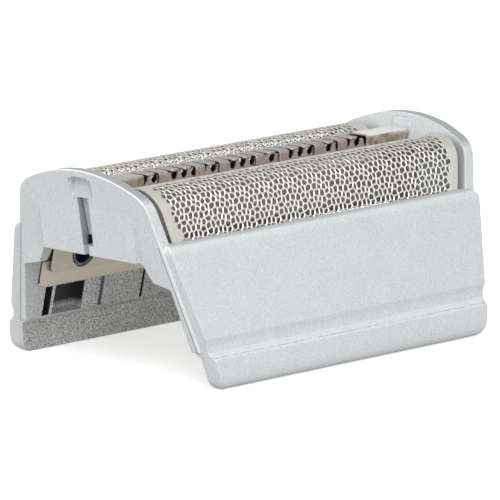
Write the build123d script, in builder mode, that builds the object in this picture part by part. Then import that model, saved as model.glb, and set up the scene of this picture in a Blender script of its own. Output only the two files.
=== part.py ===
from build123d import *
import os
from math import cos, radians, sin, tan

# Foil head of a dry shaver: two arched foils and a floating trimmer in a clip-on frame.
# Millimetres. X runs along the foils, -Y is the front, Z is up from the skirts' lower edges.

# Trimmer and foils, from the middle outward
trimmer_half_width = 1.6
float_clearance = 0.17
channel_wall = 1.23
channel_base = 0.5
foil_radius = 3.81
foil_sheet = 0.2
foil_bends = 7
foil_bend_round = 1.2
foil_below_arch = 1.77
seat_lean = 12.5
foil_flange_low = 8.5
foil_inner_flange = 3.6
foil_end_inset = 2.85
lug_past_strip = 0.63
lug_height = 3.2
lug_corner = 1.0
neck_behind_strip = 0.7
neck_height = 2.8

# Openings of the foils
hole_columns = 13
hole_pitch = 3.5
hole_row_pitch = 1.6
hole_half_length = 1.3
hole_half_height = 0.5

# Frame: leaning ends and arched cheeks
end_half_length = 23.5
end_lean = 13.8
cheek_thickness = 1.6
arch_height = 25.4
shoulder_drop = 2.84
shoulder_round = 3.2
arch_edge_bevel = 0.15
leg_wall = 0.77
leg_lean = 15
cheek_height = 10.65
opening_top_half_width = 8.3
opening_shoulder_drop = 2.2
opening_shoulder_half_width = 9.65
opening_step_drop = 3.0
pad_half_width = 7.9
pad_rise = 0.55
pad_height = 6.0

# Frame: skirts with a cove and a lower band
rim_height = 17.45
skirt_wall = 1.77
skirt_setback = 0.3
flank_lean = 17.8
rim_gap = 0.25
rim_bevel = 1.85
rim_round = 1.5
rim_corner = 1.0
cove_top = 6.3
cove_depth = 0.17
cove_height = 1.65
band_height = 3.8
band_step = 0.95
band_bulge = 0.4
band_wall = 2.0
band_round = 1.4
band_corner = 1.8
band_side_round = 2.5
cove_round = 0.8
skirt_round = 0.4
inner_round = 0.2
inner_step = 0.65

# Inside of the skirts: latch pockets, mould slits and pegs for the foils
latch_middle = 17.75
latch_length = 5.1
latch_above_band = 0.12
latch_below_foil = 0.2
latch_depth = 1.5
slit_depth = 1.3
outer_slit_place = 21.35
outer_slit_width = 1.3
groove_place = 12.1
groove_width = 0.65
groove_depth = 0.5
inner_slit_place = 4.9
inner_slit_width = 0.5
end_recess_past_lug = 0.6
end_recess_behind_neck = 0.1
end_recess_above_lug = 0.45
end_recess_depth = 1.0
peg_inset = 5.4
peg_radius = 1.7
peg_bore = 1.4
peg_root = 0.6
peg_clearance = 0.1

# Stiffening strips on the foil flanges
strip_sheet = 0.4
strip_end_gap = 0.83
strip_above_flange = 1.7
strip_height = 4.4
strip_corner = 1.0
strip_hole_radius = 1.95

# Cheek details: slot for the trimmer's tab, groove below it, pocket above it
slot_sill = 1.25
slot_clearance = 0.12
slot_depth = 0.8
lead_groove_width = 0.9
lead_groove_depth = 1.0
pocket_half_width = 1.75
pocket_depth = 1.0
pocket_foot_depth = 0.2
pocket_below_arch = 0.9
pocket_round = 0.8
boss_half_width = 1.6
boss_rise = 0.4
boss_below_arch = 0.5
ledge_half_width = 2.4
ledge_thickness = 0.5
ledge_reach = 2.0

# Trimmer: comb, blade, carrier, driver and springs
float_travel = 1.1
stop_gap = 0.1
tab_half_width = 0.75
tab_height = 4.5
tab_top_gap = 0.2
comb_rise = 0.12
comb_sheet = 0.25
comb_bend = 0.3
comb_end_gap = 0.25
finger_kinds = "TBTTBTBTTBTBTTBTBT"
finger_pitch = 2.1
finger_shift = -0.75
finger_gap = 0.55
slot_floor_drop = 2.1
blade_clearance = 0.08
blade_sheet = 0.25
blade_travel = 1.0
tooth_pitch = 1.7
tooth_count = 24
tooth_gap_top = 1.1
tooth_gap_foot = 0.6
tooth_depth = 1.1
carrier_height = 1.6
carrier_above_channel = 1.5
carrier_end_gap = 0.75
tab_root = 0.4
tab_gap = 0.5
stem_half_length = 1.6
stem_clearance = 0.3
stem_side_clearance = 0.1
stem_half_depth = 0.9
stem_low = 13.0
fork_half_width = 0.6
fork_height = 2.0
driver_half_length = 7.0
driver_height = 0.65
driver_side_gap = 0.1
spring_inset = 4.4
spring_turns = 2
spring_wire = 0.22
spring_pocket_wall = 0.22
spring_pocket_depth = 1.1
spring_clearance = 0.06
channel_end_gap = 0.2
channel_wall_below_arc = 0.1

# Places that follow from the sizes
channel_half_width = trimmer_half_width + float_clearance + channel_wall
foil_middle = channel_half_width + foil_radius
foil_crown = arch_height - foil_below_arch
foil_axis = foil_crown - foil_radius
seat_sin = sin(radians(seat_lean))
seat_cos = cos(radians(seat_lean))
bend_turn = (180 - seat_lean) / foil_bends
tangent_y = foil_middle + foil_radius * seat_cos
tangent_z = foil_axis + foil_radius * seat_sin
shoulder_height = arch_height - shoulder_drop
opening_top = arch_height - cheek_height
opening_shoulder = opening_top - opening_shoulder_drop
opening_step = opening_top - opening_step_drop
slot_low = opening_top + slot_sill
tab_low = slot_low + float_travel + stop_gap
tab_top = tab_low + tab_height
slot_top = tab_top + tab_top_gap
channel_low = opening_top + ledge_thickness
channel_floor = channel_low + channel_base
comb_top = foil_crown + comb_rise
carrier_low = channel_floor + carrier_above_channel
carrier_top = carrier_low + carrier_height
carrier_half_width = trimmer_half_width - comb_sheet
blade_half_width = carrier_half_width - blade_clearance
blade_top = comb_top - comb_sheet - blade_clearance
driver_low = carrier_top + blade_clearance
blade_low = driver_low + driver_height
strip_middle = foil_flange_low + strip_above_flange + strip_height / 2 * seat_cos
past_everything = 2 * (end_half_length + arch_height)


def end_x(z, inset=0):
    """Half length of the cheeks' leaning outer faces at height z, less an inset."""
    return end_half_length - inset + z * tan(radians(end_lean))


def seat_y(z):
    """Depth of the skirt's inner face, where the foil's flange lies, at height z."""
    return tangent_y + (tangent_z - z) * tan(radians(seat_lean))


def flank_y(z):
    """Depth of the skirt's outer face at height z."""
    return seat_y(rim_height) + skirt_wall + (rim_height - z) * tan(radians(flank_lean))


def leg_y(z):
    """Depth of the cheek's side edge at height z."""
    return seat_y(rim_height) + leg_wall + (rim_height - z) * tan(radians(leg_lean))


def seat_plane(z, depth=0):
    """Plane on the rear skirt's inner face at height z, moved inward by depth."""
    return Plane(
        origin=(0, seat_y(z) - depth * seat_cos, z - depth * seat_sin),
        x_dir=(1, 0, 0),
        z_dir=(0, -seat_cos, -seat_sin),
    )


def foil_plane(flat):
    """Plane on one flat of the rear foil's outer face, counted from the flank over the crown."""
    turn = radians(seat_lean + flat * bend_turn)
    return Plane(
        origin=(0, foil_middle + foil_radius * cos(turn), foil_axis + foil_radius * sin(turn)),
        x_dir=(1, 0, 0),
        z_dir=(0, cos(turn), sin(turn)),
    )


def foil_corners(radius):
    """Corners between the flats of the rear foil's section, for flats round this radius."""
    reach = radius / cos(radians(bend_turn / 2))
    turns = [radians(seat_lean + (bend + 0.5) * bend_turn) for bend in range(foil_bends)]
    return [(foil_middle + reach * cos(turn), foil_axis + reach * sin(turn)) for turn in turns]


def between_ends(inset, low, high, low_round=0, high_round=0):
    """Block between the two leaning ends, set in by inset, from low to high."""
    with BuildPart() as block:
        with BuildSketch(Plane.XZ):
            with BuildLine():
                FilletPolyline(
                    (-end_x(low, inset), low),
                    (end_x(low, inset), low),
                    (end_x(high, inset), high),
                    (-end_x(high, inset), high),
                    radius=(low_round, low_round, high_round, high_round),
                    close=True,
                )
            make_face()
        extrude(amount=past_everything, both=True)
    return block.part


def along_end(corners, half_width, middle=0):
    """Prism at both ends, from (inset, height) corners under the cheek's outer face."""
    with BuildPart() as prism:
        with BuildSketch(Plane.XZ.offset(-middle)):
            with BuildLine():
                Polyline(*[(end_x(z, inset), z) for inset, z in corners], close=True)
            make_face()
        extrude(amount=half_width, both=True)
        mirror(about=Plane.YZ)
    return prism.part


# Lengths that follow from the leaning ends
strip_half_length = end_x(foil_flange_low + strip_above_flange, foil_end_inset) - strip_end_gap
peg_places = (peg_inset - strip_half_length, strip_half_length - peg_inset)
lug_half_length = strip_half_length + lug_past_strip
lug_top = foil_flange_low + lug_height
neck_half_length = strip_half_length - neck_behind_strip
neck_top = lug_top + neck_height
comb_inset = cheek_thickness + boss_rise + comb_end_gap + float_travel * tan(radians(end_lean))
carrier_half_length = end_x(carrier_low, comb_inset) - carrier_end_gap
tab_inner = carrier_half_length - tab_root
blade_half_length = tab_inner - tab_gap - blade_travel
first_slot = finger_shift - len(finger_kinds) * finger_pitch / 2
spring_place = carrier_half_length - spring_inset

# Skirts: one leaning wall with its band, pockets and pegs, then the opposite wall
skirt_block = between_ends(skirt_setback, 0, rim_height, band_corner, rim_corner)
cove_y = flank_y(cove_top)
cove_low = cove_top - cove_height
band_y = cove_y + band_step + band_bulge
band_inner_top = band_height + inner_step
latch_low = band_inner_top + latch_above_band
latch_top = foil_flange_low - latch_below_foil
end_recess_inner = neck_half_length - end_recess_behind_neck
end_recess_outer = lug_half_length + end_recess_past_lug
end_recess_place = (end_recess_inner + end_recess_outer) / 2
end_recess_length = end_recess_outer - end_recess_inner
end_recess_low = foil_flange_low + end_recess_above_lug
mould_cuts = (
    (latch_middle, latch_length, latch_depth, latch_low, latch_top),
    (outer_slit_place, outer_slit_width, slit_depth, latch_low, latch_top),
    (groove_place, groove_width, groove_depth, latch_low, latch_top),
    (inner_slit_place, inner_slit_width, slit_depth, latch_low, latch_top),
    (end_recess_place, end_recess_length, end_recess_depth, end_recess_low, neck_top),
)
with BuildPart() as skirts:
    with BuildSketch(Plane.YZ):
        with BuildLine():
            FilletPolyline(
                (seat_y(rim_height) + rim_gap, rim_height),
                (flank_y(rim_height), rim_height),
                (cove_y, cove_top),
                (cove_y - cove_depth, cove_top - cove_height / 2),
                (cove_y, cove_low),
                (cove_y + band_step, band_height),
                (band_y, band_height / 2),
                (band_y - band_bulge / 2, 0),
                (band_y - band_wall, 0),
                (band_y - band_wall - inner_step, band_height),
                (seat_y(band_inner_top), band_inner_top),
                (seat_y(rim_height - rim_bevel), rim_height - rim_bevel),
                radius=(
                    inner_round,
                    rim_round,
                    skirt_round,
                    cove_round,
                    skirt_round,
                    skirt_round,
                    band_side_round,
                    band_round,
                    inner_round,
                    inner_round,
                    inner_round,
                    inner_round,
                ),
                close=True,
            )
        make_face()
    extrude(amount=past_everything, both=True)
    add(skirt_block, mode=Mode.INTERSECT)
    for place, length, depth, low, top in mould_cuts:
        with BuildSketch(seat_plane((low + top) / 2, -depth)):
            with Locations((-place, 0), (place, 0)):
                Rectangle(length, (top - low) / seat_cos)
        extrude(amount=skirt_wall + depth, mode=Mode.SUBTRACT)
    with BuildSketch(seat_plane(strip_middle, -peg_root)):
        with Locations(*[(place, 0) for place in peg_places]):
            Circle(peg_radius)
    extrude(amount=peg_root + foil_sheet + strip_sheet)
    with BuildSketch(seat_plane(strip_middle, -peg_root)):
        with Locations(*[(place, 0) for place in peg_places]):
            Circle(peg_bore)
    extrude(amount=peg_root + foil_sheet + strip_sheet, mode=Mode.SUBTRACT)
    mirror(about=Plane.XZ)

# End walls: arched cheeks over the end openings, with legs down the skirts' ends
cheek_block = between_ends(0, 0, past_everything)
cheek_space = between_ends(cheek_thickness, 0, past_everything)
with BuildPart() as end_walls:
    with BuildSketch(Plane.YZ) as arch:
        with BuildLine():
            crown = ThreePointArc(
                (-leg_y(shoulder_height), shoulder_height),
                (0, arch_height),
                (leg_y(shoulder_height), shoulder_height),
            )
            Polyline(
                crown @ 1,
                (leg_y(opening_step), opening_step),
                (opening_shoulder_half_width, opening_shoulder),
                (opening_top_half_width, opening_top),
                (-opening_top_half_width, opening_top),
                (-opening_shoulder_half_width, opening_shoulder),
                (-leg_y(opening_step), opening_step),
                crown @ 0,
            )
        make_face()
        fillet(arch.vertices().group_by(Axis.Y)[-1], shoulder_round)
    extrude(amount=past_everything, both=True)
    with BuildSketch(Plane.YZ):
        for side in (-1, 1):
            with BuildLine():
                Polyline(
                    (side * seat_y(band_inner_top), band_inner_top),
                    (side * leg_y(band_inner_top), band_inner_top),
                    (side * leg_y(rim_height), rim_height),
                    (side * (seat_y(rim_height) + rim_gap), rim_height),
                    (side * seat_y(rim_height - rim_bevel), rim_height - rim_bevel),
                    close=True,
                )
            make_face()
    extrude(amount=past_everything, both=True)
    add(cheek_block, mode=Mode.INTERSECT)
    outer_arch = [
        edge
        for edge in end_walls.edges()
        if edge.center().Z > opening_top + slot_sill
        and abs(abs(edge.center().X) - end_x(edge.center().Z)) < 1e-3
    ]
    chamfer(outer_arch, arch_edge_bevel)
    add(cheek_space, mode=Mode.SUBTRACT)

# Frame: skirts and end walls in one moulding, with the details of the cheeks
pads = along_end(
    (
        (cheek_thickness / 2, opening_top),
        (-pad_rise, opening_top),
        (0, opening_top + pad_height),
        (cheek_thickness / 2, opening_top + pad_height),
    ),
    pad_half_width,
)
bosses = along_end(
    (
        (cheek_thickness / 2, opening_top),
        (cheek_thickness + boss_rise, opening_top),
        (cheek_thickness + boss_rise, arch_height - boss_below_arch),
        (cheek_thickness / 2, arch_height - boss_below_arch),
    ),
    boss_half_width,
)
ledges = along_end(
    (
        (cheek_thickness / 2, opening_top),
        (cheek_thickness + ledge_reach, opening_top),
        (cheek_thickness + ledge_reach, channel_low),
        (cheek_thickness / 2, channel_low),
    ),
    ledge_half_width,
)
lead_grooves = along_end(
    (
        (lead_groove_depth, opening_top - slot_sill),
        (lead_groove_depth, slot_low + slot_sill),
        (-2 * pad_rise, slot_low + slot_sill),
        (-2 * pad_rise, opening_top - slot_sill),
    ),
    lead_groove_width / 2,
    tab_half_width + slot_clearance - lead_groove_width / 2,
)
pocket_top = arch_height - pocket_below_arch
pocket_wedges = along_end(
    (
        (pocket_foot_depth, slot_top),
        (pocket_depth, pocket_top),
        (-pocket_depth, pocket_top),
        (-pocket_depth, slot_top),
    ),
    pocket_half_width,
)
with BuildPart() as pockets:
    with BuildSketch(Plane.YZ):
        with Locations((0, (slot_top + pocket_top) / 2)):
            RectangleRounded(2 * pocket_half_width, pocket_top - slot_top, pocket_round)
    extrude(amount=past_everything, both=True)
    add(pocket_wedges, mode=Mode.INTERSECT)
with BuildPart() as frame:
    add(skirts.part)
    add(end_walls.part)
    add(pads)
    add(bosses)
    add(ledges)
    add(lead_grooves, mode=Mode.SUBTRACT)
    add(pockets.part, mode=Mode.SUBTRACT)
    with BuildSketch(Plane.YZ):
        with Locations((0, (slot_low + slot_top) / 2)):
            Rectangle(2 * (tab_half_width + slot_clearance), slot_top - slot_low)
    extrude(amount=past_everything, both=True, mode=Mode.SUBTRACT)
frame.part.label = "frame"

# Foils: bent sheet from the trimmer's channel over the crown to the inside of the skirt
with BuildPart() as foil_block:
    with BuildSketch(Plane.XZ):
        with BuildLine():
            FilletPolyline(
                (0, foil_flange_low),
                (lug_half_length, foil_flange_low),
                (lug_half_length, lug_top),
                (neck_half_length, lug_top),
                (neck_half_length, neck_top),
                (end_x(neck_top, foil_end_inset), neck_top),
                (end_x(past_everything, foil_end_inset), past_everything),
                (0, past_everything),
                radius=(0, lug_corner, 0, 0, 0, 0, 0, 0),
                close=True,
            )
        make_face()
    extrude(amount=past_everything, both=True)
    mirror(about=Plane.YZ)
with BuildPart() as rear_foil:
    with BuildSketch(Plane.YZ):
        with BuildLine():
            flange_foot = foil_axis - foil_inner_flange
            flank_foot = foil_flange_low - foil_sheet
            FilletPolyline(
                (seat_y(flank_foot), flank_foot),
                *foil_corners(foil_radius),
                (channel_half_width, flange_foot),
                (channel_half_width + foil_sheet, flange_foot),
                *reversed(foil_corners(foil_radius - foil_sheet)),
                (seat_y(flank_foot) - foil_sheet * seat_cos, flank_foot - foil_sheet * seat_sin),
                radius=(
                    0,
                    *[foil_bend_round + foil_sheet] * foil_bends,
                    0,
                    0,
                    *[foil_bend_round] * foil_bends,
                    0,
                ),
                close=True,
            )
        make_face()
    extrude(amount=past_everything, both=True)
    add(foil_block.part, mode=Mode.INTERSECT)
    for row in range(-1, foil_bends - 1):
        with BuildSketch(foil_plane(max(row, 0)).offset(-2 * foil_sheet)):
            with Locations((hole_pitch / 4 * (-1) ** row, hole_row_pitch * max(-row, 0))):
                with GridLocations(hole_pitch, 1, hole_columns, 1):
                    Polygon(
                        (-hole_half_length, 0),
                        (-hole_half_length / 2, -hole_half_height),
                        (hole_half_length / 2, -hole_half_height),
                        (hole_half_length, 0),
                        (hole_half_length / 2, hole_half_height),
                        (-hole_half_length / 2, hole_half_height),
                    )
        extrude(amount=3 * foil_sheet, mode=Mode.SUBTRACT)
    with BuildSketch(seat_plane(strip_middle, -foil_sheet)):
        with Locations(*[(place, 0) for place in peg_places]):
            Circle(peg_radius + peg_clearance)
    extrude(amount=3 * foil_sheet, mode=Mode.SUBTRACT)
rear_foil.part.label = "rear_foil"
with BuildPart() as front_foil:
    mirror(rear_foil.part, about=Plane.XZ)
front_foil.part.label = "front_foil"

# Stiffening strips: flat sheet on each foil's flange, open round the pegs
with BuildPart() as rear_foil_strip:
    with BuildSketch(seat_plane(strip_middle, foil_sheet)):
        RectangleRounded(2 * strip_half_length, strip_height, strip_corner)
        with Locations(*[(place, 0) for place in peg_places]):
            Circle(strip_hole_radius, mode=Mode.SUBTRACT)
    extrude(amount=strip_sheet)
rear_foil_strip.part.label = "rear_foil_strip"
with BuildPart() as front_foil_strip:
    mirror(rear_foil_strip.part, about=Plane.XZ)
front_foil_strip.part.label = "front_foil_strip"

# Trimmer channel: moulded trough between the foils, on the ledges of the cheeks
channel_half_length = end_x(channel_low, cheek_thickness + boss_rise + channel_end_gap)
stem_slot = stem_half_length + blade_travel + stem_clearance
with BuildPart() as trimmer_channel:
    with BuildSketch(Plane.YZ):
        wall_top = foil_axis - channel_wall_below_arc
        with BuildLine():
            Polyline(
                (-channel_half_width, channel_low),
                (channel_half_width, channel_low),
                (channel_half_width, wall_top),
                (channel_half_width - channel_wall, wall_top),
                (channel_half_width - channel_wall, channel_floor),
                (channel_wall - channel_half_width, channel_floor),
                (channel_wall - channel_half_width, wall_top),
                (-channel_half_width, wall_top),
                close=True,
            )
        make_face()
    extrude(amount=channel_half_length, both=True)
    with BuildSketch(Plane.XY.offset(channel_low)):
        Rectangle(2 * stem_slot, 2 * (stem_half_depth + stem_clearance))
    extrude(amount=channel_base, mode=Mode.SUBTRACT)
trimmer_channel.part.label = "trimmer_channel"

# Trimmer comb: folded U with slots across it, each finger wrapped on one side only
comb_block = between_ends(comb_inset, carrier_low, past_everything)
slot_floor = comb_top - slot_floor_drop
slot_places = [first_slot + index * finger_pitch for index in range(len(finger_kinds) + 1)]
with BuildPart() as trimmer_comb:
    with BuildSketch(Plane.YZ):
        with BuildLine():
            Polyline(
                (-trimmer_half_width, carrier_low),
                (-trimmer_half_width, comb_top - comb_bend),
                (comb_bend - trimmer_half_width, comb_top),
                (trimmer_half_width - comb_bend, comb_top),
                (trimmer_half_width, comb_top - comb_bend),
                (trimmer_half_width, carrier_low),
                (carrier_half_width, carrier_low),
                (carrier_half_width, comb_top - comb_sheet),
                (-carrier_half_width, comb_top - comb_sheet),
                (-carrier_half_width, carrier_low),
                close=True,
            )
        make_face()
    extrude(amount=past_everything, both=True)
    add(comb_block, mode=Mode.INTERSECT)
    with BuildSketch(Plane.XZ):
        with Locations(*[(place, comb_top) for place in slot_places]):
            Rectangle(finger_gap, 2 * slot_floor_drop)
    extrude(amount=2 * trimmer_half_width, both=True, mode=Mode.SUBTRACT)
    for kind, side in (("T", -1), ("B", 1)):
        free = [place for place, name in zip(slot_places, finger_kinds) if name == kind]
        with BuildSketch(Plane.XZ.offset(-side * carrier_half_width)):
            side_middle = (slot_floor + blade_top) / 2
            with Locations(*[(place + finger_pitch / 2, side_middle) for place in free]):
                Rectangle(finger_pitch, blade_top - slot_floor)
        extrude(amount=-side * trimmer_half_width, mode=Mode.SUBTRACT)
trimmer_comb.part.label = "trimmer_comb"

# Trimmer blade: channel open upward, with tapered teeth along both edges
with BuildPart() as trimmer_blade:
    with BuildSketch(Plane.YZ):
        with BuildLine():
            Polyline(
                (-blade_half_width, blade_low),
                (blade_half_width, blade_low),
                (blade_half_width, blade_top),
                (blade_half_width - blade_sheet, blade_top),
                (blade_half_width - blade_sheet, blade_low + blade_sheet),
                (blade_sheet - blade_half_width, blade_low + blade_sheet),
                (blade_sheet - blade_half_width, blade_top),
                (-blade_half_width, blade_top),
                close=True,
            )
        make_face()
    extrude(amount=blade_half_length, both=True)
    with BuildSketch(Plane.XZ):
        with GridLocations(tooth_pitch, 1, tooth_count, 1):
            Polygon(
                (-tooth_gap_top / 2, blade_top),
                (-tooth_gap_foot / 2, blade_top - tooth_depth),
                (tooth_gap_foot / 2, blade_top - tooth_depth),
                (tooth_gap_top / 2, blade_top),
                align=None,
            )
    extrude(amount=2 * blade_half_width, both=True, mode=Mode.SUBTRACT)
trimmer_blade.part.label = "trimmer_blade"

# Trimmer carrier: bar in the foot of the comb, with end tabs for the cheek slots
spring_radius = carrier_half_width - spring_pocket_wall
tab_block = between_ends(slot_depth, tab_low, tab_top)
with BuildPart() as trimmer_carrier:
    with BuildSketch(Plane.XZ):
        with Locations((0, (tab_low + tab_top) / 2)):
            Rectangle(2 * end_x(tab_top), tab_height)
            Rectangle(2 * tab_inner, tab_height, mode=Mode.SUBTRACT)
    extrude(amount=tab_half_width, both=True)
    add(tab_block, mode=Mode.INTERSECT)
    with BuildSketch(Plane.XY.offset(carrier_low)):
        Rectangle(2 * carrier_half_length, 2 * carrier_half_width)
        Rectangle(2 * stem_slot, 2 * (stem_half_depth + stem_side_clearance), mode=Mode.SUBTRACT)
    extrude(amount=carrier_height)
    with BuildSketch(Plane.XY.offset(carrier_low)):
        with Locations((-spring_place, 0), (spring_place, 0)):
            Circle(spring_radius)
    extrude(amount=spring_pocket_depth, mode=Mode.SUBTRACT)
trimmer_carrier.part.label = "trimmer_carrier"

# Blade driver: flange under the blade and a stem with a fork for the drive pin
with BuildPart() as blade_driver:
    with BuildSketch(Plane.XY.offset(driver_low)):
        Rectangle(2 * driver_half_length, 2 * (blade_half_width - driver_side_gap))
    extrude(amount=driver_height)
    with BuildSketch(Plane.XY.offset(stem_low)):
        Rectangle(2 * stem_half_length, 2 * stem_half_depth)
    extrude(amount=driver_low - stem_low)
    with BuildSketch(Plane.XZ):
        with Locations((0, stem_low + fork_height / 2)):
            Rectangle(2 * fork_half_width, fork_height)
    extrude(amount=2 * stem_half_depth, both=True, mode=Mode.SUBTRACT)
blade_driver.part.label = "blade_driver"

# Float springs: one coil under each end of the carrier, on the floor of the channel
spring_space = carrier_low + spring_pocket_depth - channel_floor
spring_height = spring_space - spring_wire - 2 * spring_clearance
springs = {}
for name, side in (("left_float_spring", -1), ("right_float_spring", 1)):
    with BuildPart() as coil_spring:
        with BuildLine():
            coil = Helix(
                spring_height / spring_turns,
                spring_height,
                spring_radius - spring_wire / 2 - spring_clearance,
                center=(side * spring_place, 0, channel_floor + spring_clearance + spring_wire / 2),
            )
        with BuildSketch(Plane(coil @ 0, z_dir=coil % 0)):
            Rectangle(spring_wire, spring_wire)
        sweep(path=coil, is_frenet=True)
    coil_spring.part.label = name
    springs[name] = coil_spring.part

os.makedirs("parts", exist_ok=True)
export_step(frame.part, "parts/frame.step")
export_step(front_foil.part, "parts/front_foil.step")
export_step(rear_foil.part, "parts/rear_foil.step")
export_step(front_foil_strip.part, "parts/front_foil_strip.step")
export_step(rear_foil_strip.part, "parts/rear_foil_strip.step")
export_step(trimmer_channel.part, "parts/trimmer_channel.step")
export_step(trimmer_comb.part, "parts/trimmer_comb.step")
export_step(trimmer_blade.part, "parts/trimmer_blade.step")
export_step(trimmer_carrier.part, "parts/trimmer_carrier.step")
export_step(blade_driver.part, "parts/blade_driver.step")
export_step(springs["left_float_spring"], "parts/left_float_spring.step")
export_step(springs["right_float_spring"], "parts/right_float_spring.step")
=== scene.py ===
from math import atan2, cos, pi, radians, sin, sqrt, tan
from random import Random

import bmesh
import bpy
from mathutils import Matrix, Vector
from mathutils.geometry import delaunay_2d_cdt


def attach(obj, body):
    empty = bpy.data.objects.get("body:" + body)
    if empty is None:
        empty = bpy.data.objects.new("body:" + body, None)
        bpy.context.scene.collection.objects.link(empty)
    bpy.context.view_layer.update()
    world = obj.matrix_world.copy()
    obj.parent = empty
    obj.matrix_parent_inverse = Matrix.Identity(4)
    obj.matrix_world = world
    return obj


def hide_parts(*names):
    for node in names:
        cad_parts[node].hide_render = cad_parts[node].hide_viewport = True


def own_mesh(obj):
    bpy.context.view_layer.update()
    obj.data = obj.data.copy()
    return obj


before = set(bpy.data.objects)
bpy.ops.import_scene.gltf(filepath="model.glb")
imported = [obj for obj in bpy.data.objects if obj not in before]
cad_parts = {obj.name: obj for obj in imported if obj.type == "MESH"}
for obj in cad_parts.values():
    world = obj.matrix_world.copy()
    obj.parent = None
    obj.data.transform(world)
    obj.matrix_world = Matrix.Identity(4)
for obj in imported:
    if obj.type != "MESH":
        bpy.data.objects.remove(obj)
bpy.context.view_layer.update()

# Foil head of a dry shaver: a silver frame, two perforated foils and a floating trimmer.
# Sizes are in millimetres until a mesh is made. X runs along the foils, -Y is the front.


# ---- Frame ------------------------------------------------------------------------------
# One plastic moulding with two leaning skirts and two arched cheeks, sprayed with a silver
# metallic paint whose flakes show as a fine grain. It clips over the handset from above.

class Wire:
    """One output in a material's nodes: sums on it add Math nodes, node() adds any other."""

    def __init__(self, tree, socket=None):
        self.tree = tree
        self.socket = socket

    def node(self, kind, settings=None, inputs=None, output=0):
        made = self.tree.nodes.new(kind)
        for name, value in (settings or {}).items():
            setattr(made, name, value)
        for name, value in (inputs or {}).items():
            if isinstance(value, Wire):
                self.tree.links.new(value.socket, made.inputs[name])
            else:
                made.inputs[name].default_value = value
        return Wire(self.tree, made.outputs[output])

    def sum_node(self, operation, first, second=0.0):
        return self.node("ShaderNodeMath", {"operation": operation}, {0: first, 1: second})

    def __add__(self, other):
        return self.sum_node("ADD", self, other)

    def __radd__(self, other):
        return self.sum_node("ADD", other, self)

    def __sub__(self, other):
        return self.sum_node("SUBTRACT", self, other)

    def __rsub__(self, other):
        return self.sum_node("SUBTRACT", other, self)

    def __mul__(self, other):
        return self.sum_node("MULTIPLY", self, other)

    def __rmul__(self, other):
        return self.sum_node("MULTIPLY", other, self)

    def __abs__(self):
        return self.sum_node("ABSOLUTE", self)

    def sign(self):
        return self.sum_node("SIGN", self)

    def at_least(self, low):
        return self.sum_node("MAXIMUM", self, low)

    def step(self, none, full):
        """A smooth rise from 0 where this value is none to 1 where it is full."""
        return self.node(
            "ShaderNodeMapRange",
            {"interpolation_type": "SMOOTHSTEP"},
            {"Value": self, "From Min": none, "From Max": full},
        )

    def within(self, low, high, blur=0.1):
        """1 where this value is between low and high, 0 outside."""
        return self.step(low - blur, low) * self.step(high + blur, high)

    def mix(self, low, high):
        """A colour between low and high, by this value."""
        low, high = (c if isinstance(c, Wire) else (*c, 1) for c in (low, high))
        return self.node(
            "ShaderNodeMix",
            {"data_type": "RGBA", "clamp_factor": True},
            {"Factor": self, 6: low, 7: high},
            output=2,
        )


class Finish:
    """A material with one surface shader; grain() and axes() start its patterns."""

    def __init__(self, name, **constants):
        self.material = bpy.data.materials.new(name)
        self.material.use_nodes = True
        self.tree = self.material.node_tree
        self.shader = self.tree.nodes["Principled BSDF"]
        for socket_name, value in constants.items():
            self.shader.inputs[socket_name.replace("_", " ")].default_value = value

    def axes(self, output, scale=1.0):
        """The three parts of a Texture Coordinate output, as values."""
        spot = Wire(self.tree).node("ShaderNodeTexCoord", output=output)
        return [
            spot.node("ShaderNodeSeparateXYZ", None, {"Vector": spot}, output=axis) * scale
            for axis in range(3)
        ]

    def grain(self, size, detail=2.0, stretch=(1, 1, 1)):
        """Noise of about this size in millimetres, drawn out along each axis by stretch."""
        spot = Wire(self.tree).node("ShaderNodeTexCoord", output="Object")
        spread = spot.node(
            "ShaderNodeVectorMath", {"operation": "DIVIDE"}, {0: spot, 1: stretch}
        )
        return spot.node(
            "ShaderNodeTexNoise", None, {"Vector": spread, "Scale": 1000 / size, "Detail": detail}
        )

    def feed(self, socket_name, wire):
        self.tree.links.new(wire.socket, self.shader.inputs[socket_name])

    def bump(self, height, depth, edge_round=0.0):
        """Bump from a height between 0 and 1, in millimetres, over edges rounded so far."""
        sockets = {"Height": height, "Distance": depth / 1000}
        if edge_round:
            sockets["Normal"] = height.node(
                "ShaderNodeBevel", {"samples": 6}, {"Radius": edge_round / 1000}
            )
        self.feed("Normal", height.node("ShaderNodeBump", None, sockets))


rim_height = 17.45
seat_at_floor = 15.11
recess_deepest = 1.9
recess_low = 4.55
recess_top = 14.55
recess_end = 23.7
latch_inner = 15.2
latch_outer = 20.3
latch_foot_top = 5.0
peg_place = 16.93
peg_height = 12.35
peg_radius = 1.8
peg_bore_radius = 1.53
tab_slot_half_width = 0.87
tab_slot_low = 16.0
tab_slot_top = 21.9
tab_slot_outer = 26.9
tab_foot = 17.2
pocket_half_width = 1.75
pocket_low = 22.5
pocket_top = 24.2
leg_inner = 22.2
leg_low = 4.3
leg_lean_slope = tan(radians(15))
leg_edge_at_floor = 16.29
groove_place = 11.9
groove_half_width = 0.8
lug_gap_length = (24.6, 25.35)
lug_gap_across = (8.5, 10.5)
lug_gap_height = (12.0, 14.6)
low_end_inner = 12.0
low_end_outer = 26.0
thin_inner = 22.0
thin_outer = 26.5
band_line = 4.03
foil_middle = 6.81
foil_axis = 19.82
foil_lean = radians(12.5)
foil_gap_near = 4.1
foil_gap_far = 4.6

silver_paint = Finish("silver_paint", IOR=1.5)
x, y, z = silver_paint.axes("Object", 1000)
facing_x, facing_y, facing_z = silver_paint.axes("Normal")
length, across = abs(x), abs(y)
flakes = silver_paint.grain(0.2, 3.0)
mottle = silver_paint.grain(4.0)
behind_seat = across + z * tan(foil_lean) - seat_at_floor

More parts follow.
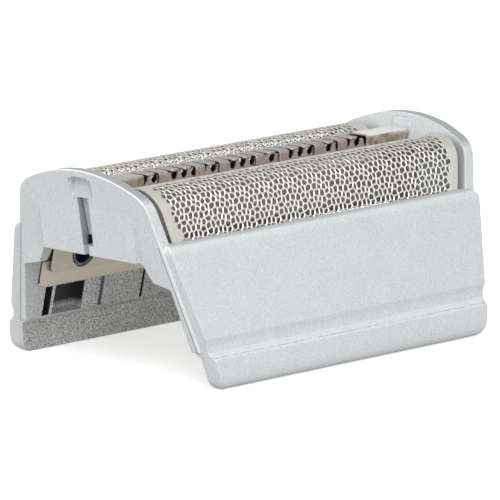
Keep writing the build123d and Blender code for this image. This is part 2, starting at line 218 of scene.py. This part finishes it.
# The spray thins out on the inner walls, showing the primer as grain. Recesses, peg bores,
# the tabs' slots and the gaps beside the foils' lugs are painted dark, as shade.
outward = facing_y * y.sign()
leg = length.step(leg_inner - 0.3, leg_inner + 0.3) * z.step(leg_low - 0.3, leg_low + 0.2)
inner_wall = outward.step(-0.2, -0.5) * across.step(4, 6) * (1 - 0.4 * leg)
inner_wall = inner_wall * z.step(rim_height, rim_height - 0.6)
recess = (
    behind_seat.within(0.2, recess_deepest)
    * outward.step(0.5, 0.2)
    * z.within(recess_low, recess_top)
    * length.step(recess_end + 0.1, recess_end)
)
# Painted light: the latch window's foot is painted lighter than its dark top, as if lit from below.
latch_foot = length.within(latch_inner, latch_outer) * z.step(latch_foot_top + 1, latch_foot_top)
groove = length.within(groove_place - groove_half_width, groove_place + groove_half_width)
recess = recess * (1 - 0.95 * latch_foot) * (1 - 0.45 * groove)
lug_gap = (
    outward.step(-0.5, -0.7)
    * length.within(*lug_gap_length)
    * across.within(*lug_gap_across)
    * z.within(*lug_gap_height)
)
off_peg = length - peg_place
over_peg = z - peg_height
from_peg = off_peg * off_peg + over_peg * over_peg
on_peg = behind_seat.step(1.4, 1.2)
bore = from_peg.step((peg_bore_radius + 0.07) ** 2, peg_bore_radius**2) * on_peg
peg_ring = from_peg.step((peg_radius + 0.1) ** 2, peg_radius**2) * on_peg
tab_slot = (
    abs(facing_y).step(0.6, 0.8)
    * across.step(tab_slot_half_width + 0.1, tab_slot_half_width)
    * z.within(tab_slot_low, tab_slot_top)
)
# Painted shade: the slot is painted darker under the tab.
under_tab = z.step(tab_foot, tab_foot - 0.2) * length.step(tab_slot_outer + 0.3, tab_slot_outer)
tab_slot = tab_slot * (0.5 + 0.5 * under_tab)
hollow = recess + bore + tab_slot + lug_gap
# The primer grain of the thin spray is real. The extra darkening of the inner walls away from their
# ends, at their low ends and less on the legs is painted shade.
low_end = z.step(leg_low, leg_low - 0.5) * length.step(low_end_inner, low_end_outer)
thin_spray_and_shade = inner_wall * (0.24 + 0.06 * length.step(thin_outer, thin_inner) + 0.05 * low_end)
sprayed = (flakes * 4 + 0.2 - thin_spray_and_shade * 3.8).step(0.0, 1.0)

# A fine line runs along the band, where the two halves of the mould met.
mould_line = z.within(band_line, band_line + 0.05, 0.04) * outward.step(0.2, 0.4)
mould_line = mould_line * silver_paint.grain(0.8, 4.0).step(0.35, 0.6)

# The flakes lie flat and close on the open faces, rough on the inner walls. The arches' top
# faces and the rim beside the foils are painted darker, as shade, and the arches' bevels carry a
# painted highlight.
above_rim = z.step(rim_height + 0.3, rim_height + 0.8)
endward = abs(facing_x)
arch_edge = facing_z.step(0.5, 0.9) * endward.step(0.4, 0.2) * above_rim
edge_highlight = facing_z.step(0.3, 0.4) * endward.step(0.2, 0.4) * above_rim
rim_edge = facing_z.step(0.75, 1.0) * z.within(rim_height - 0.6, rim_height + 0.1)
primer, shade_black = (0.14, 0.14, 0.142), (0.025, 0.025, 0.027)
painted_wall_shade, edge_shade, shadow_line_grey = (0.30, 0.31, 0.30), (0.27, 0.28, 0.30), (0.16, 0.16, 0.17)
silver = (flakes * 0.85 + mottle * 0.15).mix((0.42, 0.44, 0.45), (0.86, 0.88, 0.88))
# Painted light and shade: the inner walls take a rougher, lighter silver against their shade, and a
# duller grey at the legs and the walls' low ends.
rough_grain_and_light = flakes.step(0.3, 0.7).mix((0.52, 0.52, 0.52), (1.0, 1.0, 0.99))
silver = inner_wall.mix(silver, rough_grain_and_light)
silver = (inner_wall * (leg * 0.45 + low_end * 0.5)).mix(silver, painted_wall_shade)
silver = (arch_edge * 0.8 + rim_edge * 0.6).mix(silver, edge_shade)
silver = (edge_highlight * 0.5).mix(silver, (0.98, 0.98, 0.98))

# Painted shadow lines at the sides of each cheek's pocket and along the legs' outer edges.
pocket_line = across.within(pocket_half_width - 0.05, pocket_half_width + 0.08, 0.06)
endward_out = facing_x * x.sign()
outer_face = endward_out.step(0.6, 0.9)
pocket_line = pocket_line * z.within(pocket_low, pocket_top, 0.3) * outer_face
off_leg = across + z * leg_lean_slope - leg_edge_at_floor
leg_line = off_leg.within(-0.05, 0.05, 0.06) * z.within(leg_low, rim_height - 0.3) * outer_face
silver = (pocket_line * 0.5 + leg_line * 0.7).mix(silver, shadow_line_grey)
silver = (mould_line * 0.45).mix(silver, (0.2, 0.2, 0.2))

# Painted shade on the pegs' end rings, and on the cheeks close round the foils' ends.
off_foil, over_foil = across - foil_middle, z - foil_axis
from_flank = off_foil * cos(foil_lean) + over_foil * sin(foil_lean)
up_flank = (over_foil * cos(foil_lean) - off_foil * sin(foil_lean)).at_least(0.0)
from_foil = from_flank * from_flank + up_flank * up_flank
foil_gap = from_foil.step(foil_gap_far**2, foil_gap_near**2)
foil_gap = foil_gap * over_foil.step(4.2, 2.2) * endward_out.step(-0.6, -0.9)
silver = (foil_gap * 0.7).mix(silver, (0.22, 0.22, 0.22))
silver = (peg_ring * 0.7).mix(silver, (0.1, 0.1, 0.1))
silver = sprayed.mix(primer, silver)
silver_paint.feed("Base Color", hollow.mix(silver, shade_black))
silver_paint.feed("Metallic", sprayed * (1 - hollow) * 0.28)
silver_paint.feed("Roughness", 0.34 + flakes * 0.22)
silver_paint.bump(flakes, 0.014, edge_round=0.22)


def dress(node, finish):
    """Gives a CAD node its finish."""
    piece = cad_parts[node]
    piece.data.materials.clear()
    piece.data.materials.append(finish.material)


dress("frame", silver_paint)


# ---- Foils ------------------------------------------------------------------------------
# Two thin nickel sheets, electroformed with an irregular net of openings between narrow
# strands, and bent over into an arch. Pegs inside the skirts hold their flanges.

foil_radius = 3.81
foil_inner_foot = 16.22
foil_flange_low = 8.5
foil_short_end = 20.65
foil_long_end = 21.22
foil_sheet = 0.14
foil_lug_half_length = 23.4
foil_lug_top = 11.7
foil_lug_corner = 1.0
foil_neck_half_length = 21.62
foil_neck_top = 14.5
foil_hole_radius = 1.8
hole_steps = 32
corner_steps = 4
inner_steps = 4
end_slope = tan(radians(13.8))
strand_rise = 0.09
strand_half_width = 0.108
opening_pitch = 0.84
row_pitch = 0.755
net_start = 5.9
net_rows = 17
net_columns = 72
net_short_margin = 1.75
net_long_margin = 1.6
net_border = 0.8
spare_rows = 4
spare_columns = 2
kept_rows = 2.5
knot_reach = 0.17
knot_fill = 0.3
pattern_columns = 5
pattern_rows = 6
pattern_shift = 0.26

inner_run = foil_axis - foil_inner_foot
arc_run = foil_radius * (pi - foil_lean)
net_end = net_start + net_rows * row_pitch


def foil_section(run, depth):
    """Depth and height on the bent foil, a run along it from its inner edge."""
    if run < inner_run:
        return foil_middle - foil_radius + depth, foil_inner_foot + run
    turn = max(pi - (run - inner_run) / foil_radius, foil_lean)
    past = max(run - inner_run - arc_run, 0)
    reach = foil_radius - depth
    return (
        foil_middle + reach * cos(turn) + past * sin(foil_lean),
        foil_axis + reach * sin(turn) - past * cos(foil_lean),
    )


# Each strand runs half way between two openings, whose middles are off an even honeycomb
# by a pattern that repeats. Forks that come close are drawn together into one knot, and
# the openings' corners are filled a little.
draw = Random(11)
shifts = [
    [
        Vector([draw.uniform(-pattern_shift, pattern_shift) for axis in range(2)])
        for column in range(pattern_columns)
    ]
    for row in range(pattern_rows)
]


def opening_middle(row, column):
    """Middle of one opening on the flat sheet."""
    even = Vector(
        (
            (column + 0.5 * (row % 2) - net_columns / 2) * opening_pitch,
            net_start + (row + 0.5) * row_pitch,
        )
    )
    return even + shifts[row % pattern_rows][column % pattern_columns]


def fork(first, second, third):
    """The spot as far from one opening's middle as from two others'."""
    to_second, to_third = second - first, third - first
    turned = Vector((to_third.y, -to_third.x)) * to_second.length_squared
    turned += Vector((-to_second.y, to_second.x)) * to_third.length_squared
    return first + turned / (2 * to_second.cross(to_third))


def is_open(middle, run):
    """True for the middle of an opening inside the plain margins."""
    reach = end_slope * foil_section(run, 0)[1]
    left = net_long_margin - foil_long_end - reach
    right = foil_short_end + reach - net_short_margin
    return net_start < run < net_end and left < middle < right


def flat_net():
    """The perforated part of a foil as a flat sheet of strands, with plain sheet round it."""
    sheet = bmesh.new()
    middles = [
        opening_middle(row, column)
        for row in range(-spare_rows, net_rows + spare_rows)
        for column in range(net_columns)
    ]
    plan = delaunay_2d_cdt(middles, [], [], 0, 0.0001)
    middles, triangles = plan[0], plan[2]
    rings = [[] for middle in middles]
    for triangle in triangles:
        corner = sheet.verts.new((*fork(*[middles[k] for k in triangle]), 0))
        for k in triangle:
            rings[k].append(corner)
    for middle, ring in zip(middles, rings):
        past = max(net_start - middle.y, middle.y - net_end) / row_pitch
        widest = (net_columns / 2 - spare_columns) * opening_pitch
        if past < kept_rows and abs(middle.x) < widest:
            ring.sort(key=lambda corner: atan2(*(corner.co.xy - middle)), reverse=True)
            sheet.faces.new(ring)
    loose = [vert for vert in sheet.verts if not vert.link_faces]
    bmesh.ops.delete(sheet, geom=loose, context="VERTS")
    bmesh.ops.remove_doubles(sheet, verts=sheet.verts, dist=knot_reach)
    sheet.normal_update()
    openings = [face for face in sheet.faces if is_open(*face.calc_center_median().xy)]
    bmesh.ops.inset_individual(
        sheet,
        faces=openings,
        thickness=strand_half_width,
        depth=-strand_rise,
        use_even_offset=True,
    )
    for opening in openings:
        corners = set(opening.verts)
        for edge in list(opening.edges):
            bmesh.utils.edge_split(edge, edge.verts[0], 0.5)
        for loop in opening.loops:
            if loop.vert in corners:
                beside = loop.link_loop_prev.vert.co + loop.link_loop_next.vert.co
                loop.vert.co = loop.vert.co.lerp(beside / 2, knot_fill)
    bmesh.ops.delete(sheet, geom=openings, context="FACES")
    for run, side in ((net_start - net_border, -1), (net_end + net_border, 1)):
        bmesh.ops.bisect_plane(
            sheet,
            geom=[*sheet.verts, *sheet.edges, *sheet.faces],
            plane_co=(0, run, 0),
            plane_no=(0, side, 0),
            clear_outer=True,
        )
    return sheet


def edges_at(sheet, axis, value):
    """Open edges of the sheet that lie at a value along one axis."""
    return [
        edge
        for edge in sheet.edges
        if edge.is_boundary and all(abs(vert.co[axis] - value) < 0.002 for vert in edge.verts)
    ]


def rear_foil_sheet():
    """The rear foil's outer face: net, plain inner edge, and flange with lugs and peg holes."""
    sheet = flat_net()
    run = net_start - net_border
    stops = [run + (inner_run - run) * (step + 1) / inner_steps for step in range(inner_steps)]
    stops.append(0)
    for stop in stops:
        made = bmesh.ops.extrude_edge_only(sheet, edges=edges_at(sheet, 1, run))["geom"]
        for part in made:
            if isinstance(part, bmesh.types.BMVert):
                part.co.y = stop
        run = stop
    net_foot = foil_section(net_end + net_border, 0)[1]
    for vert in sheet.verts:
        across, height = foil_section(vert.co.y, -vert.co.z)
        vert.co = (vert.co.x, across, height)
    for side, end in ((1, foil_short_end), (-1, foil_long_end)):
        bmesh.ops.bisect_plane(
            sheet,
            geom=[*sheet.verts, *sheet.edges, *sheet.faces],
            plane_co=(side * end, 0, 0),
            plane_no=(side, 0, -end_slope),
            clear_outer=True,
        )
    flank = [edge for edge in edges_at(sheet, 2, net_foot) if edge.verts[0].co.y > foil_middle]
    ends = sorted({vert for edge in flank for vert in edge.verts}, key=lambda vert: vert.co.x)

    def on_flank(spot, height):
        tangent = foil_middle + foil_radius * cos(foil_lean)
        drop = foil_axis + foil_radius * sin(foil_lean) - height
        return sheet.verts.new((spot, tangent + drop * tan(foil_lean), height))

    lug = [
        (foil_neck_half_length, foil_neck_top),
        (foil_neck_half_length, foil_lug_top),
        (foil_lug_half_length, foil_lug_top),
    ]
    for step in range(corner_steps + 1):
        turn = pi / 2 * step / corner_steps
        lug.append(
            (
                foil_lug_half_length - foil_lug_corner * (1 - cos(turn)),
                foil_flange_low + foil_lug_corner * (1 - sin(turn)),
            )
        )
    neck_reach = end_slope * foil_neck_top
    chain = [ends[-1], on_flank(foil_short_end + neck_reach, foil_neck_top)]
    chain += [on_flank(spot, height) for spot, height in lug]
    chain += [on_flank(-spot, height) for spot, height in reversed(lug)]
    chain += [on_flank(-foil_long_end - neck_reach, foil_neck_top), ends[0]]
    loops = flank + [sheet.edges.new(pair) for pair in zip(chain, chain[1:])]
    for side in (-1, 1):
        hole = [
            on_flank(
                side * peg_place + foil_hole_radius * cos(2 * pi * step / hole_steps),
                peg_height + foil_hole_radius * cos(foil_lean) * sin(2 * pi * step / hole_steps),
            )
            for step in range(hole_steps)
        ]
        loops += [sheet.edges.new((hole[k - 1], hole[k])) for k in range(hole_steps)]
    bmesh.ops.triangle_fill(sheet, use_beauty=True, edges=loops)
    return sheet


foil_nickel = Finish("foil_nickel", Metallic=0.72)
x, y, z = foil_nickel.axes("Object", 1000)
facing_y, facing_z = foil_nickel.axes("Normal")[1:]
# The foils' inner faces, seen through the openings, are painted a darker grey as shade.
shaded_inside = (
    (abs(y) - foil_middle) * y.sign() * facing_y + (z - foil_axis) * facing_z
).step(0.0, -1.0)
cloud = foil_nickel.grain(1.6)
speck = foil_nickel.grain(0.25)
cast = cloud * 0.5 + speck * 0.5
nickel = z.step(14, 17).mix(
    cast.mix((0.79, 0.75, 0.62), (0.98, 0.94, 0.81)),
    cast.mix((0.64, 0.63, 0.57), (0.90, 0.89, 0.83)),
)
# Painted shade: the nickel is darker towards the crown.
nickel = (z.step(21.5, 23.4) * 0.4).mix(nickel, (0.40, 0.40, 0.38))
foil_nickel.feed("Base Color", (shaded_inside * z.step(14, 16)).mix(nickel, (0.42, 0.41, 0.38)))
foil_nickel.feed("Roughness", 0.26 + speck * 0.18)
foil_nickel.bump(speck, 0.006)


def new_piece(name, mesh, finish, smooth=True):
    """A mesh object made of a bmesh, with its finish."""
    data = bpy.data.meshes.new(name)
    bmesh.ops.recalc_face_normals(mesh, faces=mesh.faces)
    mesh.to_mesh(data)
    mesh.free()
    data.materials.append(finish.material)
    for polygon in data.polygons:
        polygon.use_smooth = smooth
    piece = bpy.data.objects.new(name, data)
    bpy.context.scene.collection.objects.link(piece)
    return piece


def thicken(piece, thickness, offset=-1.0):
    """Sheet thickness in millimetres, on the inner side unless the offset says otherwise."""
    sheet = piece.modifiers.new("sheet", "SOLIDIFY")
    sheet.thickness = thickness / 1000
    sheet.offset = offset
    sheet.use_even_offset = False


for side, node in ((1, "rear_foil"), (-1, "front_foil")):
    foil = rear_foil_sheet()
    for vert in foil.verts:
        vert.co = Vector((side * vert.co.x, side * vert.co.y, vert.co.z)) / 1000
    piece = new_piece(node + "_net", foil, foil_nickel)
    outward = sum(face.normal.y * side + face.normal.z for face in piece.data.polygons)
    if outward < 0:
        piece.data.flip_normals()
    thicken(piece, foil_sheet)
    piece.modifiers.new("crisp", "EDGE_SPLIT").split_angle = radians(45)
    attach(piece, "housing")
    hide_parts(node)


# ---- Foil strips ------------------------------------------------------------------------
# Flat stamped steel strips that stiffen the foils' flanges, held on the same pegs. Only a
# corner of one shows, through the opening under the cheek.

strip_steel = Finish("strip_steel", Metallic=0.85)
rolled = strip_steel.grain(0.35, 2.0, (8, 1, 1))
# The strips' end faces are painted dark, as shade.
end_shade = abs(strip_steel.axes("Normal")[0]).step(0.5, 0.8)
steel = rolled.mix((0.70, 0.65, 0.53), (0.92, 0.87, 0.74))
strip_steel.feed("Base Color", end_shade.mix(steel, (0.12, 0.10, 0.08)))
strip_steel.feed("Roughness", 0.32 + rolled * 0.2)
for node in ("front_foil_strip", "rear_foil_strip"):
    dress(node, strip_steel)


# ---- Trimmer channel and float springs --------------------------------------------------
# A dark moulded trough between the foils, resting on ledges of the cheeks, with a small
# wire coil at each end that pushes the trimmer up.

channel_plastic = Finish("channel_plastic")
pores = channel_plastic.grain(0.3)
channel_plastic.feed("Base Color", pores.mix((0.09, 0.09, 0.09), (0.17, 0.17, 0.172)))
channel_plastic.feed("Roughness", 0.5 + pores * 0.2)
channel_plastic.bump(pores, 0.02)
dress("trimmer_channel", channel_plastic)

spring_place = 20.07
spring_low = 15.92
spring_top = 18.18
spring_turns = 3
coil_radius = 0.96
wire_radius = 0.11
turn_steps = 28
wire_sides = 8
weld_distance = 0.000002

spring_steel = Finish("spring_steel", Metallic=1.0)
drawn = spring_steel.grain(0.2)
spring_steel.feed("Base Color", drawn.mix((0.5, 0.5, 0.52), (0.72, 0.72, 0.74)))
spring_steel.feed("Roughness", 0.22 + drawn * 0.15)


def add_strip(mesh, rows):
    """Faces between rows of points, each row as long as the next."""
    made = [[mesh.verts.new(Vector(spot) / 1000) for spot in row] for row in rows]
    for low, high in zip(made, made[1:]):
        for k in range(len(low) - 1):
            mesh.faces.new((low[k], low[k + 1], high[k + 1], high[k]))


for side, node in ((-1, "left_float_spring"), (1, "right_float_spring")):
    rings = []
    for step in range(spring_turns * turn_steps + 1):
        turn = 2 * pi * step / turn_steps
        share = (step / turn_steps - 0.5) / (spring_turns - 1)
        height = spring_low + (spring_top - spring_low) * min(max(share, 0), 1)
        ring = []
        for k in range(wire_sides + 1):
            around = 2 * pi * k / wire_sides
            reach = coil_radius + wire_radius * cos(around)
            ring.append(
                (
                    side * spring_place + reach * cos(turn),
                    reach * sin(turn),
                    height + wire_radius * sin(around),
                )
            )
        rings.append(ring)
    spring = bmesh.new()
    add_strip(spring, rings)
    bmesh.ops.remove_doubles(spring, verts=spring.verts, dist=weld_distance)
    bmesh.ops.holes_fill(spring, edges=spring.edges)
    spring_piece = new_piece(node + "_coil", spring, spring_steel)
    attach(spring_piece, "housing")
    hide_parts(node)
    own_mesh(spring_piece)


# ---- Trimmer carrier and blade driver ---------------------------------------------------
# Light grey mouldings: a bar under the comb whose end tabs slide in the slots of the
# cheeks, and a stem on the blade with a fork for the drive pin.

carrier_plastic = Finish("carrier_plastic")
moulded = carrier_plastic.grain(0.4)
carrier_plastic.feed("Base Color", moulded.mix((0.46, 0.47, 0.48), (0.62, 0.63, 0.64)))
carrier_plastic.feed("Roughness", 0.42 + moulded * 0.2)
carrier_plastic.bump(moulded, 0.015)
for node in ("trimmer_carrier", "blade_driver"):
    dress(node, carrier_plastic)


# ---- Trimmer blade ----------------------------------------------------------------------
# A ground steel channel, open upward, whose two edges are cut into tapered teeth with
# round-bottomed gaps. It runs to and fro inside the comb.

blade_low = 19.58
blade_top = 23.42
blade_half_width = 1.27
blade_half_length = 22.57
blade_sheet = 0.25
blade_foot = 21.6
tooth_pitch = 1.7
tooth_count = 24
gap_half_width = 0.62
gap_round = 0.5
gap_bottom = 22.48
gap_steps = 8

blade_steel = Finish("blade_steel", Metallic=0.9)
ground = blade_steel.grain(0.3, 3.0, (3, 1, 1))
depth = abs(blade_steel.axes("Object", 1000)[1])
# The blade's inner faces are painted dark, as shade.
shaded_inside = depth.step(blade_half_width - 0.1, blade_half_width - 0.2)
steel = ground.mix((0.42, 0.40, 0.37), (0.74, 0.72, 0.68))
blade_steel.feed("Base Color", shaded_inside.mix(steel, (0.10, 0.10, 0.10)))
blade_steel.feed("Roughness", 0.25 + ground * 0.2)

edge_line = [(-blade_half_length, blade_top)]
for tooth in range(tooth_count):
    middle = (tooth - (tooth_count - 1) / 2) * tooth_pitch
    edge_line.append((middle - gap_half_width, blade_top))
    for step in range(gap_steps + 1):
        turn = pi + pi * step / gap_steps
        edge_line.append(
            (middle + gap_round * cos(turn), gap_bottom + gap_round * (1 + sin(turn)))
        )
    edge_line.append((middle + gap_half_width, blade_top))
edge_line.append((blade_half_length, blade_top))

blade = bmesh.new()
half = blade_half_width
add_strip(
    blade,
    [
        [(x, -half, z) for x, z in edge_line],
        [(x, -half, blade_foot) for x, z in edge_line],
        [(x, -half, blade_low) for x, z in edge_line],
        [(x, half, blade_low) for x, z in edge_line],
        [(x, half, blade_foot) for x, z in edge_line],
        [(x, half, z) for x, z in edge_line],
    ],
)
blade_piece = new_piece("trimmer_blade_teeth", blade, blade_steel, smooth=False)
thicken(blade_piece, blade_sheet)
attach(blade_piece, "blade")
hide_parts("trimmer_blade")


# ---- Trimmer comb -----------------------------------------------------------------------
# A folded steel channel over the blade, slotted into fingers that are bent down on one
# side only and end in a round tongue on the other. It is crimped to the carrier.

comb_top = 23.75
comb_low = 17.25
comb_half_width = 1.6
comb_sheet = 0.25
comb_bend = 0.42
comb_slot_floor = 21.65
comb_end_half_length = 20.98
finger_kinds = "TBTTBTBTTBTBTTBTBT"
finger_pitch = 2.1
finger_first = -19.65
finger_gap = 0.55
tongue_round = 0.55
tongue_reach = 1.58
bend_steps = 5
block_place = 19.9
right_block_inset = 0.9
comb_edge_round = 0.04

comb_steel = Finish("comb_steel")
brushed = comb_steel.grain(0.3, 3.0, (1, 4, 4))
x, y, z = comb_steel.axes("Object", 1000)
facing_z = comb_steel.axes("Normal")[2]
# Painted shade on the comb's inner faces. The left end block's top is painted darker than the right
# one's, as shade; the fingers' tops are greyer than their pinkish fronts.
shaded_inside = abs(y).step(comb_half_width - 0.1, comb_half_width - 0.2) * facing_z.step(0.3, -0.3)
upward = facing_z.step(0.4, 0.8)
block = abs(x).step(block_place - 0.4, block_place)
stain = comb_steel.grain(0.7, 4.0)
front = block.mix(
    brushed.mix((0.36, 0.30, 0.26), (0.66, 0.58, 0.52)),
    stain.step(0.3, 0.7).mix((0.33, 0.28, 0.23), (0.60, 0.54, 0.47)),
)
top = block.mix(
    brushed.mix((0.33, 0.32, 0.31), (0.58, 0.57, 0.56)),
    x.step(-1, 1).mix((0.36, 0.35, 0.32), brushed.mix((0.58, 0.58, 0.57), (0.74, 0.74, 0.73))),
)
steel = upward.mix(front, top)
comb_steel.feed("Base Color", shaded_inside.mix(steel, (0.10, 0.10, 0.10)))
comb_steel.feed("Metallic", 0.9 - 0.7 * block * upward)
comb_steel.feed("Roughness", 0.28 + brushed * 0.22)
comb_steel.bump(brushed, 0.01)

wall_run = comb_top - comb_bend - comb_low
bend_run = comb_bend * pi / 2
flat_half = comb_half_width - comb_bend


def comb_section(run):
    """Depth and height on the comb, a run up the rear wall and over the top, with no front bend."""
    if run < wall_run:
        return comb_half_width, comb_low + run
    if run < wall_run + bend_run:
        turn = (run - wall_run) / comb_bend
        return flat_half + comb_bend * cos(turn), comb_top - comb_bend + comb_bend * sin(turn)
    return flat_half - (run - wall_run - bend_run), comb_top


def tongue_end(share, width):
    """How far a round tongue falls short of its tip, at a share of its width."""
    off = abs(share - 0.5) * width - (width / 2 - tongue_round)
    if off <= 0:
        return 0
    return tongue_round - sqrt(max(tongue_round ** 2 - off ** 2, 0))


comb = bmesh.new()
shares = (0, 0.04, 0.12, 0.25, 0.5, 0.75, 0.88, 0.96, 1)
slot_floor_run = comb_slot_floor - comb_low
bend_runs = [wall_run + bend_run * k / bend_steps for k in range(bend_steps + 1)]
top_run = wall_run + bend_run
tip_run = top_run + flat_half + tongue_reach
finger_columns = []
for finger, kind in enumerate(finger_kinds):
    start = finger_first + finger * finger_pitch + finger_gap / 2
    width = finger_pitch - finger_gap
    columns = [start + share * width for share in shares]
    finger_columns += columns
    side = 1 if kind == "T" else -1
    rows = []
    for run in [slot_floor_run, *bend_runs]:
        across, height = comb_section(run)
        rows.append([(x, side * across, height) for x in columns])
    for part in (0.35, 0.7, 1):
        row = []
        for share, x in zip(shares, columns):
            run = top_run + part * (tip_run - top_run - tongue_end(share, width))
            across, height = comb_section(run)
            row.append((x, side * across, height))
        rows.append(row)
    add_strip(comb, rows)

left_block = finger_first - finger_gap / 2
right_block = finger_first + len(finger_kinds) * finger_pitch + finger_gap / 2
right_block += right_block_inset


def comb_end(height):
    """Half the comb's length at a height."""
    return comb_end_half_length + end_slope * height


for side in (-1, 1):
    rows = []
    for run in (0, slot_floor_run):
        across, height = comb_section(run)
        line = [-comb_end(height), left_block, *finger_columns, right_block, comb_end(height)]
        rows.append([(x, side * across, height) for x in line])
    add_strip(comb, rows)
for edge, end_side in ((left_block, -1), (right_block, 1)):
    rows = []
    for side in (1, -1):
        section = [comb_section(run) for run in [slot_floor_run, *bend_runs]]
        for across, height in section if side == 1 else reversed(section):
            rows.append(
                [(x, side * across, height) for x in (edge, end_side * comb_end(height))]
            )
    add_strip(comb, rows)
bmesh.ops.remove_doubles(comb, verts=comb.verts, dist=weld_distance)
comb_piece = new_piece("trimmer_comb_fingers", comb, comb_steel)
outward = sum(face.normal.z for face in comb_piece.data.polygons)
if outward < 0:
    comb_piece.data.flip_normals()
thicken(comb_piece, comb_sheet)
edge_round = comb_piece.modifiers.new("edge_round", "BEVEL")
edge_round.width = comb_edge_round / 1000
edge_round.segments = 2
edge_round.limit_method = "ANGLE"
edge_round.angle_limit = radians(50)
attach(comb_piece, "trimmer")
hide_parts("trimmer_comb")


# ---- Floor, light and camera ------------------------------------------------------------
# A white studio table under soft light from above, in front and behind, seen through a long
# lens from the left front corner.

floor_glow = 0.52
paper_white = (0.8, 0.8, 0.8, 1)
table_grey = (0.44, 0.44, 0.44, 1)
room_light = 0.56
light_aim = (0, 0, 0.012)
light_size = 0.4

floor_white = Finish("floor_white", Roughness=0.9)
floor_start = Wire(floor_white.tree)
seen = floor_start.node("ShaderNodeLightPath", output="Is Camera Ray")
seen = seen + floor_start.node("ShaderNodeLightPath", output="Is Glossy Ray") * 0.5
shine = floor_start.node(
    "ShaderNodeEmission", None, {"Color": (1, 1, 1, 1), "Strength": floor_glow}
)
paper = floor_start.node("ShaderNodeBsdfDiffuse", None, {"Color": paper_white})
table = floor_start.node("ShaderNodeBsdfDiffuse", None, {"Color": table_grey})
lit = floor_start.node("ShaderNodeAddShader", None, {0: paper, 1: shine})
shown = floor_start.node("ShaderNodeMixShader", None, {"Fac": seen, 1: table, 2: lit})
floor_white.tree.links.new(
    shown.socket, floor_white.tree.nodes["Material Output"].inputs["Surface"]
)
floor_mesh = bmesh.new()
bmesh.ops.create_grid(floor_mesh, x_segments=8, y_segments=8, size=3.0)
floor = new_piece("floor", floor_mesh, floor_white)

world = bpy.data.worlds.new("studio")
bpy.context.scene.world = world
world.use_nodes = True
sky = world.node_tree
background = sky.nodes["Background"]
background.inputs["Color"].default_value = (1, 1, 1, 1)
direct = Wire(sky).node("ShaderNodeLightPath", output="Is Camera Ray")
direct = direct + Wire(sky).node("ShaderNodeLightPath", output="Is Glossy Ray") * 0.25
sky.links.new((room_light + direct * (1 - room_light)).socket, background.inputs["Strength"])


def softbox(name, place, power):
    """A square lamp that faces the head."""
    lamp = bpy.data.lights.new(name, "AREA")
    lamp.size = light_size
    lamp.energy = power
    holder = bpy.data.objects.new(name, lamp)
    holder.location = place
    holder.rotation_euler = (Vector(light_aim) - Vector(place)).to_track_quat("-Z", "Y").to_euler()
    bpy.context.scene.collection.objects.link(holder)


softbox("top_light", (-0.24, -0.14, 0.41), 1.85)
softbox("front_light", (-0.24, -0.45, 0.2), 0.97)
softbox("rear_light", (-0.05, 0.5, 0.3), 0.6)

view_turn = radians(-46.02)
view_height = radians(10.64)
view_distance = 0.8531
view_middle = Vector((0, 0, 0.013))
back = Vector(
    (sin(view_turn) * cos(view_height), -cos(view_turn) * cos(view_height), sin(view_height))
)
camera = bpy.data.objects.new("camera", bpy.data.cameras.new("camera"))
camera.data.sensor_width = 36
camera.data.lens = 500.5
camera.data.shift_x = 0.00056
camera.data.shift_y = -0.0213
camera.data.clip_end = 20
camera.location = view_middle + back * view_distance
camera.rotation_euler = (-back).to_track_quat("-Z", "Y").to_euler()
bpy.context.scene.collection.objects.link(camera)
bpy.context.scene.camera = camera
bpy.context.scene.view_settings.view_transform = "Standard"
